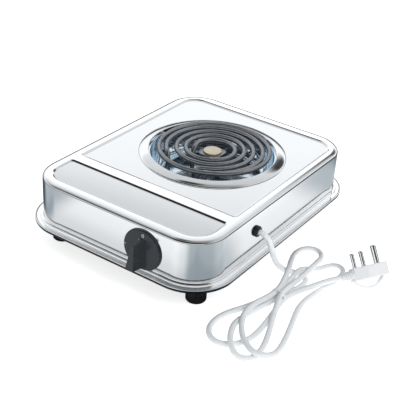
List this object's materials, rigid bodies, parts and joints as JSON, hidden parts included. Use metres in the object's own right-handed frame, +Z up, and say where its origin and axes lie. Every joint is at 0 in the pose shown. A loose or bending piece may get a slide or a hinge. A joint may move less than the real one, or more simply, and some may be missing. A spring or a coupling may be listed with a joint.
{
  "type": "hot plate burner",
  "caption": "Portable single electric hot plate: steel housing on rubber feet, coil element over a drip bowl, front rotary switch knob and tied mains lead with plug.",
  "frame": {"origin": "on the resting surface, under the middle of the whole box that the part fills without its lead: from the knob's front to the base's rear edge, and across the base", "axes": "+Z up, -Y is the front with the knob, +X is the side that the lead leaves from"},
  "size_m": [0.3628, 0.3386, 0.0881],
  "materials": {
    "stainless_sheet": "satin",
    "zinc_steel": "satin",
    "tray_steel": "satin",
    "black_rubber": "matte",
    "chrome_trim": "polished",
    "bowl_steel": "dull",
    "element_sheath": "matte",
    "cream_enamel": "gloss",
    "ceramic": "matte",
    "brass": "satin",
    "dark_knob": "gloss",
    "switch_resin": "matte",
    "black_resin": "matte",
    "white_pvc": "satin",
    "white_tie": "gloss",
    "white_plug": "satin",
    "nickel_pins": "satin",
    "brown_insulation": "satin",
    "blue_insulation": "satin",
    "red_insulation": "satin",
    "green_insulation": "satin"
  },
  "bodies": {
    "base": {"housing": "stainless_sheet", "tray_brackets": "zinc_steel", "base_tray": "tray_steel", "feet": "black_rubber", "foot_screws": "zinc_steel", "foot_nuts": "zinc_steel", "tray_screws": "zinc_steel", "burner_ring": "chrome_trim", "reflector_bowl": "bowl_steel", "inner_coil": "element_sheath", "outer_coil": "element_sheath", "coil_support": "zinc_steel", "hub_plate": "element_sheath", "center_cap": "cream_enamel", "hub_spacer": "zinc_steel", "hub_bolt": "zinc_steel", "hub_nut": "zinc_steel", "element_bushings": "ceramic", "element_terminals": "brass", "switch_plate": "zinc_steel", "switch_case": "black_resin", "switch_cover": "black_resin", "switch_contacts": "brass", "switch_screws": "zinc_steel", "cable_grommet": "black_rubber", "inner_cord": "white_pvc", "cord_clamp": "zinc_steel", "clamp_screws": "zinc_steel", "supply_cores": "brown_insulation", "terminal_block": "ceramic", "block_screws": "brass", "live_lead": "brown_insulation", "neutral_lead": "blue_insulation", "element_leads": "red_insulation", "earth_lead": "green_insulation", "earth_stud": "zinc_steel", "power_cord": "white_pvc", "cord_tie": "white_tie", "plug_strain_relief": "white_pvc", "plug_body": "white_plug", "line_pins": "nickel_pins", "earth_pin": "nickel_pins"},
    "knob": {"knob": "dark_knob", "switch_shaft": "zinc_steel", "switch_rotor": "switch_resin"}
  },
  "joints": [
    {"name": "knob_turn", "type": "hinge", "parent": "base", "child": "knob", "pos_m": [0.045, -0.1421, 0.057], "axis": [0, 1, 0], "range_deg": [0, 270]}
  ]
}
